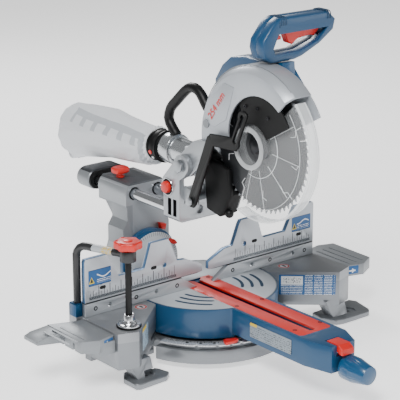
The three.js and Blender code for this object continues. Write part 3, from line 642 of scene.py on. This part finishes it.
def lettering(name, words, size, face, body, finish):
    """Raised lettering on a face: the words' outline, thickened, with its place in its mesh.
    Each point is the face's origin plus its own steps across, up and out from the face."""
    curve = bpy.data.curves.new(name, "FONT")
    curve.body, curve.size, curve.extrude = words, size / 1000, 0.0003
    curve.align_x = curve.align_y = "CENTER"
    drawn = show(name + "_curve", curve)
    bpy.context.view_layer.update()
    mesh = bpy.data.meshes.new_from_object(drawn)
    bpy.data.objects.remove(drawn)
    flat = np.empty(len(mesh.vertices) * 3)
    mesh.vertices.foreach_get("co", flat)
    across, up, out, place = (np.array(v, float) for v in face)
    local = flat.reshape(-1, 3)
    placed = place / 1000 + local[:, :1] * across + local[:, 1:2] * up + local[:, 2:] * out
    mesh.vertices.foreach_set("co", placed.ravel())
    mesh.materials.clear()
    mesh.materials.append(finish.material)
    made = show(name, mesh)
    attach(made, body)
    return made


red_print = Finish("red_print", "d0322b", 0.5)
grey_casting = Finish("grey_casting", "83878b", 0.46, 0.4).grain(420, 0.13)
lean = math.radians(54)
lettering("guard_lettering", "254 mm", 20,
          ((0, -math.cos(lean), math.sin(lean)), (0, math.sin(lean), math.cos(lean)), (-1, 0, 0),
           (guard_side - 0.6, arbor[0] + 92, arbor[1] + 62)), "head", red_print)
badge = turned("x", (arbor[0] + 122, arbor[1] + 22), [(guard_side - 1.2, 8), (guard_side + 1, 8.4)], 30)
loft("guard_badge", badge, "head", grey_casting)

# ---- Blade ----
# A ground steel disc with carbide teeth and narrow zig-zag slots cut by laser.
# It turns on a steel shaft in a bearing, under a dark bolt and flange.
blade_finish = Finish("saw_blade", "2a2c2f", 0.4, 0.3)
span = (blade_finish.y - arbor[0]).span(blade_finish.z - arbor[1])
swirl = blade_finish.node("ShaderNodeTexNoise", {}, {
    "Vector": blade_finish.node("ShaderNodeCombineXYZ", {}, {0: span * 0.12, 1: 0.0, 2: 0.0}), "Scale": 1.0})
blade_finish.set("Roughness", 0.32 + swirl * 0.14)
blade_finish.tint(swirl * 0.3, "3c3f43")
blade_finish.tint((span > 121) * 0.8, "a3a7ab")
blade_finish.on("saw_blade")
steel.on("arbor_bearing", "arbor_shaft")
dark_screw.on("arbor_bolt")


def tube(path, radius, sides=14):
    """Rings for a round tube along a path: circles square to the local direction of the path."""
    path = np.array(path, float)
    along = np.gradient(path, axis=0)
    along /= np.linalg.norm(along, axis=1)[:, None]
    side = np.cross(along, np.array([0.31, 0.17, 0.93]))
    side /= np.linalg.norm(side, axis=1)[:, None]
    up = np.cross(along, side)
    turn = np.linspace(0, 2 * np.pi, sides, endpoint=False)
    radius = np.broadcast_to(radius, len(path))[:, None, None]
    return path[:, None] + radius * (
        side[:, None] * np.cos(turn)[None, :, None] + up[:, None] * np.sin(turn)[None, :, None])


def on_blade(x, reach, degrees):
    """A point on a face of the blade: its distance from the axis and its angle round it."""
    turn = np.radians(degrees)
    places = np.broadcast_arrays(x, arbor[0] + reach * np.cos(turn), arbor[1] + reach * np.sin(turn))
    return np.stack(places, -1)


# Each corner of a slot is a distance from the axis and an angle; every second slot starts further in.
slot_pale = Finish("blade_slot", "e9ecee", 0.4, 0.2)
zig = np.array([(118, 0.0), (102, 0.9), (97, 7.0), (84, 6.0), (80, 12.0), (70, 11.0)])
for number in range(10):
    skipped = number % 2
    for face_side, face_x in (("l", blade_low[0] - 0.12), ("r", blade_high[0] + 0.12)):
        for part in range(3 - skipped):
            corner = zig[part + skipped:part + skipped + 2]
            ends = on_blade(face_x, corner[:, 0], corner[:, 1] + number * 36 + 8)
            line = ends[0] + np.linspace(0, 1, 4)[:, None] * (ends[1] - ends[0])
            loft("blade_slot_%d_%d_%s" % (number, part, face_side), tube(line, 0.62, 6), "blade",
                 slot_pale)

# ---- Lower guard ----
# A clear moulded shroud that swings up as the head comes down, with beads moulded on its side, drawn as white
# lines of painted highlight.
# Its rim and the lip of its hub are thicker, so less light comes through them.
clear = Finish("lower_guard", "f2f6f8", 0.08, 0.0, 0.2, 0.1)
reach = (clear.y - arbor[0]).span(clear.z - arbor[1])
rim = reach > 138.6
lip = rim * 0.3 + rim * ((clear.x > 6) + (clear.x < -10.5)) * 0.35
hub_lip = (reach < 40.6) * (clear.x < -32) * 0.3
clear.set("Alpha", 0.09 + lip + hub_lip)
clear.on("lower_guard")

# Painted highlight: the clear beads are drawn white, for the light they catch.
bead_highlight = Finish("guard_edge", "eef2f4", 0.25)
bead_x = extent("lower_guard")[0][0] + 22.6


def guard_line(name, reach, degrees, thick):
    """A moulded bead on the shroud, drawn white as painted highlight: a thin tube through points given as
    radius and angle.
    """
    path = on_blade(bead_x, reach, degrees)
    return loft(name, tube(path, thick, 7), "lower_guard", bead_highlight)


sweep_all = np.linspace(139, 289, 40)
guard_line("guard_bead_outer", 117.0, sweep_all, 0.45)
guard_line("guard_bead_inner", 58.0, sweep_all, 0.6)
for number, angle in enumerate((150, 186, 222, 258, 284)):
    guard_line("guard_bead_spoke_%d" % number, np.linspace(44, 114, 8), angle, 0.4)

# ---- Guard liner ----
# A black moulded liner closes the space behind the window, over the retracting shroud,
# and three screws hold it.
liner_inner, liner_outer = 44, 112
liner_turn = np.linspace(64, 150, 30)
liner = np.concatenate([on_blade(0, liner_inner, liner_turn), on_blade(0, liner_outer, liner_turn[::-1])])
liner_rings = np.stack([liner, liner])
liner_rings[..., 0] = np.array([guard_side + 7, guard_side + 9.5])[:, None]
loft("guard_liner", liner_rings, "head", rubber)
for number, angle in enumerate((76, 100, 124)):
    screw("liner_screw_%d" % number, "x", on_blade(0, 76, angle)[1:], guard_side + 7.2, -1, 3.4, "head",
          dark_screw)

# ---- Guard rim ----
# A bead runs round the shoulder of the guard where its side meets its rim.
shoulder = on_blade(guard_side + 15.6, 150.1, np.linspace(0, 128, 60))
loft("guard_rim_bead", tube(shoulder, 0.8, 8), "head", grey_casting)

# ---- Motor and gear case fittings ----
# Cooling ribs on the motor, two brush caps, a blank rating plate, and the gear cover's screws.
# The motor is a plastic casing round copper windings; a belt drives the shaft inside the gear case.
blue = Finish("blue_paint", "0b4267", 0.34, 0.0, 0.3).grain(700, 0.06)
blue.on("gear_case", "gear_cover")
blue_plastic = Finish("blue_plastic", "0b3f63", 0.42, 0, 0.1).grain(900, 0.07)
blue_plastic.on("motor_housing")
copper = Finish("copper", "a8663a", 0.4, 0.9)
copper.on("motor_stator", "motor_armature")
rubber.on("drive_belt")
motor_low, motor_high = extent("motor_housing")
motor_at = (motor_low[1:] + motor_high[1:]) / 2
motor_reach = (motor_high[2] - motor_low[2]) / 2
for number, x in enumerate(np.linspace(motor_low[0] + 44, motor_high[0] - 18, 5)):
    rib = [(x - 1.6, motor_reach - 0.6), (x - 1.0, motor_reach + 0.9),
           (x + 1.0, motor_reach + 0.9), (x + 1.6, motor_reach - 0.6)]
    loft("motor_rib_%d" % number, turned("x", motor_at, rib, 48), "head", blue_plastic)
for name, side in (("front_brush_cap", -1), ("rear_brush_cap", 1)):
    brush = [(motor_at[0] + side * (motor_reach + past), radius)
             for past, radius in ((-1, 9), (1.6, 8.4), (2.2, 7))]
    loft(name, turned("y", (motor_high[0] - 52, motor_at[1]), brush, 24), "head", black)

rating = Finish("rating_plate", "8f979d", 0.4, 0.4)
rating.tint(rating.y.bands(4, 1.0) * (rating.noise(600.0, 1.0) > 0.48), "33383d")
turn = np.radians(np.linspace(62, 118, 17))
arch = np.stack([np.cos(turn), np.sin(turn)], -1)
section = np.concatenate([(motor_reach + 0.35) * arch, (motor_reach - 0.3) * arch[::-1]]) + motor_at
plate_rings = np.empty((2, len(section), 3))
plate_rings[..., 0] = np.array([motor_low[0] + 8, motor_low[0] + 38])[:, None]
plate_rings[..., 1:] = section
loft("rating_plate", plate_rings, "head", rating)

cover_face = extent("gear_cover")[1][0]
cover_screws = ((130, 88), (132, 20), (78, 132), (6, 130), (-14, 62), (-14, -10), (60, -34), (112, -34))
for number, place in enumerate(cover_screws):
    screw("cover_screw_%d" % number, "x", arbor + place, cover_face - 0.4, 1, 4.2, "head", dark_screw)

# ---- Boot knob ----
# A black ball grip on a short stem at the foot of the rubber boot behind the blade.
ball_x, ball_y, ball_z, ball_radius = -9, extent("dust_boot")[0][1] + 10, 276, 8.5
sweep_down = np.linspace(0.02, np.pi - 0.02, 16)
ball = np.column_stack([ball_z + ball_radius * np.cos(sweep_down), ball_radius * np.sin(sweep_down)])
loft("boot_knob", turned("z", (ball_x, ball_y), ball, 26), "head", black)
stem = [(ball_x, ball_y - 1, 278), (ball_x, ball_y + 8, 284), (ball_x, ball_y + 16, 290)]
loft("boot_knob_stem", tube(stem, 3.2, 12), "head", black)

# ---- Head lock button ----
# A red button on the carriage's left cheek, in a recess filled with painted shade, with a bright machined rim.
red.on("head_lock_pin")
pin_low, pin_high = extent("head_lock_pin")
pin_at = (pin_low[1:] + pin_high[1:]) / 2
# Painted shade: a near-black disc fills the recess behind the button.
loft("carriage_recess_shade", turned("x", pin_at, [(-50.25, 15.4), (-50.1, 15.4)], 36), "carriage", black_and_hole_shade)
turn = np.linspace(0, 2 * np.pi, 41)
rim_path = np.stack([np.full(41, -50.3), pin_at[0] + 16.5 * np.cos(turn), pin_at[1] + 16.5 * np.sin(turn)], -1)
loft("carriage_rim", tube(rim_path, 1.1, 8), "carriage", chrome)

# ---- Main handle ----
# Two moulded shells screwed together, with bands of ribs where the grip starts and ends,
# and a red trigger and lock-off lever. Each rib is half of a squared oval, as the grip's back is.
blue_plastic.on("handle_front_shell", "handle_rear_shell")
red.on("trigger", "lock_off_lever")
front_low, front_high = extent("handle_front_shell")
rear_edge = extent("handle_rear_shell")[1][1]
half_y, mid_y = (rear_edge - front_low[1]) / 2, (rear_edge + front_low[1]) / 2
turn = np.linspace(0, np.pi, 33)
for number, x in enumerate((28, 32, 36, 40, 44, 144, 148, 152)):
    foot = front_high[2] - 1.2 + 1.4 - 14 - (3 if x < 30 else 0)
    path = np.stack([np.full(33, x, float),
                     mid_y - (half_y + 0.1) * np.sign(np.cos(turn)) * np.abs(np.cos(turn)) ** 0.42,
                     foot + 14.3 * np.abs(np.sin(turn)) ** 0.42], -1)
    loft("grip_rib_%d" % number, tube(path, 0.9, 8), "head", slot_blue)

# ---- Dust pipe and collar ----
# A plated tube leads back from the guard; a black collar with a red catch holds the bag.
pipe_finish = Finish("dust_pipe", "b9bdc0", 0.22, 0.85)
pipe_finish.on("dust_pipe")
black.on("dust_collar")
white_print = Finish("white_print", "eceeef", 0.5)
collar_low, collar_high = extent("dust_collar")
collar_at = (collar_low[[0, 2]] + collar_high[[0, 2]]) / 2
for number, y in enumerate((collar_low[1] + 3, collar_high[1] - 5)):
    ridge = [(y - 2, 30.6), (y - 1.4, 32.4), (y + 1.4, 32.4), (y + 2, 30.6)]
    loft("collar_ring_%d" % number, turned("y", collar_at, ridge, 36), "head", black)
for name, degrees, size, finish, slot in (("collar_catch", 196, 4.2, red_print, "red_plastic"),
                                          ("collar_dot", 222, 3.0, white_print, "silver_casting")):
    outward = np.array([math.cos(math.radians(degrees)), 0, math.sin(math.radians(degrees))])
    foot = np.array([collar_at[0], (collar_low[1] + collar_high[1]) / 2 + 1, collar_at[1]]) + 30.4 * outward
    loft(name, tube(np.stack([foot - outward, foot + outward * 2.2]), size, 16), "head", finish)

# ---- Dust bag ----
# Sewn from pale woven cloth, gathered on a wire at the collar, with a seam along the bottom.
# It hangs by its own stiffness, so it bellies and creases between the collar and its closed end.
bag_finish = Finish("bag_cloth", "d5d8dc", 0.8)
bag_finish.set("Normal", bag_finish.node("ShaderNodeBump", {}, {
    "Strength": 0.6, "Distance": 0.0004, "Height": bag_finish.noise(1400.0, 1.0)}))
bag_low, bag_high = extent("dust_bag")
share = (bag_finish.y - bag_low[1]) / float(bag_high[1] - bag_low[1])
above = bag_finish.z - (340.5 + (bag_finish.y - 150) * 0.012) - bag_finish.noise(14.0, 1.0) * 5
stripe = above.between(26, 37)
drips = bag_finish.y.bands(44, 8) * above.between(10, 28)
edge = (bag_finish.y < bag_low[1] + 34) * above.between(-20, 37)
printed = (stripe + drips + edge > 0.5) * (bag_finish.x < 20) * share.between(0.03, 0.84)
bag_finish.tint(printed * 0.6, "949aa1")

# Each station is a place along the saw, the middle's x and z there, and the bag's radius.
stations = np.array([(150, 2, 361, 30.2), (156, 5, 359.5, 34.5), (166, 7, 357.5, 37.5), (178, 9, 356, 38.8),
                     (208, 11.5, 354, 40), (238, 14, 352, 41.6), (280, 16, 351, 44.5), (323, 18, 351, 48.2),
                     (371, 20, 344, 50.6), (419, 22, 337, 52.4), (446, 22, 331, 54), (460, 22, 327, 55),
                     (467, 22, 326.5, 52), (470, 22, 326, 40), (471, 22, 326, 20)])
rows, columns = 110, 132
along = np.linspace(0, 1, rows)
middle = np.stack([np.interp(along, np.linspace(0, 1, len(stations)), station) for station in stations.T], -1)
turn = np.linspace(0, 2 * np.pi, columns, endpoint=False)
rng = np.random.default_rng(7)
folds = np.zeros((rows, columns))
for count, strength, drift, phase in zip((7, 11, 17, 3, 5), (0.012, 0.010, 0.007, 0.02, 0.014),
                                         (2.1, -3.0, 4.0, 1.4, -1.8), rng.uniform(0, 6, 5)):
    folds += strength * np.sin(count * turn[None] + phase + drift * np.pi * along[:, None])
gather = 0.035 * np.exp(-((along - 0.12) / 0.1) ** 2)[:, None] * np.sin(22 * turn)[None]
sag = -0.03 * np.sin(np.pi * along)[:, None] * np.maximum(0, np.sin(turn))[None] ** 3
width = middle[:, 3][:, None] * (1.03 + folds * np.minimum(1, along * 6)[:, None] + gather + sag)
taller = 1 + 0.15 * along[:, None] ** 2
bag_rings = np.empty((rows, columns, 3))
bag_rings[..., 0] = middle[:, 1][:, None] + width * np.cos(turn) * (2 - taller)
bag_rings[..., 1] = middle[:, 0][:, None]
bag_rings[..., 2] = middle[:, 2][:, None] + width * np.sin(turn) * taller
bag = loft("bag_body", bag_rings, "head", bag_finish, smooth=80)
# The cloth is blown out a little against its wire collar and sewn end, then settles under its weight.
collar_rows, end_rows, furthest = 9, 7, 0.006
held = bag.vertex_groups.new(name="held")
held.add(list(range(collar_rows * columns)) + list(range((rows - end_rows) * columns, rows * columns)),
         1.0, "REPLACE")
cloth = bag.modifiers.new("cloth", "CLOTH")
cloth.settings.vertex_group_mass = "held"
cloth.settings.quality = 4
cloth.settings.mass = 0.15
cloth.settings.tension_stiffness = cloth.settings.compression_stiffness = 12
cloth.settings.bending_stiffness = 0.3
cloth.settings.use_pressure = True
cloth.settings.uniform_pressure_force = 2.2
cloth.settings.shrink_min = -0.05
cloth.settings.effector_weights.gravity = 0.25
for step in range(1, 16):
    bpy.context.scene.frame_set(step)
settled = bag.evaluated_get(bpy.context.evaluated_depsgraph_get())
after = np.empty(rows * columns * 3)
settled.data.vertices.foreach_get("co", after)
before = bag_rings.reshape(-1, 3) / 1000
moved = after.reshape(-1, 3) - before
far = np.linalg.norm(moved, axis=1)[:, None]
moved *= np.minimum(1, furthest / np.maximum(far, 1e-6))
bag.modifiers.remove(cloth)
bpy.context.scene.frame_set(1)
bag.data.vertices.foreach_set("co", (before + moved).ravel())
bag.data.update()

# The seam runs along the lowest column of the cloth and the hem round one of its last rows.
seam_column, hem_row = 99, 98
sewn = np.empty(len(bag.data.vertices) * 3)
bag.data.vertices.foreach_get("co", sewn)
sewn = sewn.reshape(rows, columns, 3) * 1000
thread = Finish("bag_seam", "b9bec4", 0.85)
loft("bag_seam", tube(sewn[9:102, seam_column], 1.1, 8), "head", thread)
hem = np.concatenate([sewn[hem_row], sewn[hem_row][:1]])
loft("bag_hem", tube(hem, 1.1, 8), "head", thread)
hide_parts("dust_bag")

# ---- Eased edges ----
# Every casting and moulding has a small radius where its faces meet; sharp ones are only on the blade.
largest_ease, ease_share = 0.0012, 0.06
for name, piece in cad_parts.items():
    if name in ("saw_blade", "dust_bag"):
        continue
    low, high = extent(name)
    piece.data.polygons.foreach_set("use_smooth", np.ones(len(piece.data.polygons), bool))
    weld = piece.modifiers.new("weld", "WELD")
    weld.merge_threshold = 0.00001
    ease = piece.modifiers.new("ease", "BEVEL")
    ease.limit_method = "ANGLE"
    ease.angle_limit = math.radians(33)
    ease.width = min(largest_ease, (high - low).min() / 1000 * ease_share)
    ease.segments = 2
    ease.harden_normals = True
